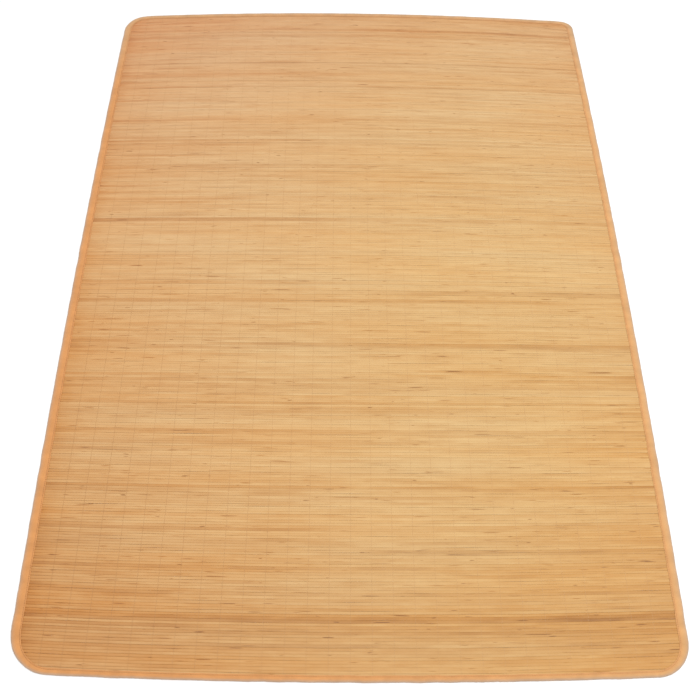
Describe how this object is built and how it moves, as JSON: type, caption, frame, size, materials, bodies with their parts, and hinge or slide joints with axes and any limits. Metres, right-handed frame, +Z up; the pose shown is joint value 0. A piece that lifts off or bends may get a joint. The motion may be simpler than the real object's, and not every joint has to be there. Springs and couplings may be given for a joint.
{
  "type": "rattan mat",
  "caption": "Flat rectangular floor mat of fine reeds laid side by side across it, with rounded corners and a cloth tape folded over its edge all round.",
  "frame": {"origin": "on the floor, under the middle of the mat's bounding box", "axes": "+Y along the mat's length, towards the end with the tighter corners; +X across the mat, along the reeds; +Z up, out of the mat's upper face"},
  "size_m": [1.2002, 1.8098, 0.0035],
  "materials": {
    "split_reed": "satin",
    "cotton_tape": "matte"
  },
  "bodies": {
    "root": {"reed_web": "split_reed", "edge_tape": "cotton_tape"}
  },
  "joints": []
}
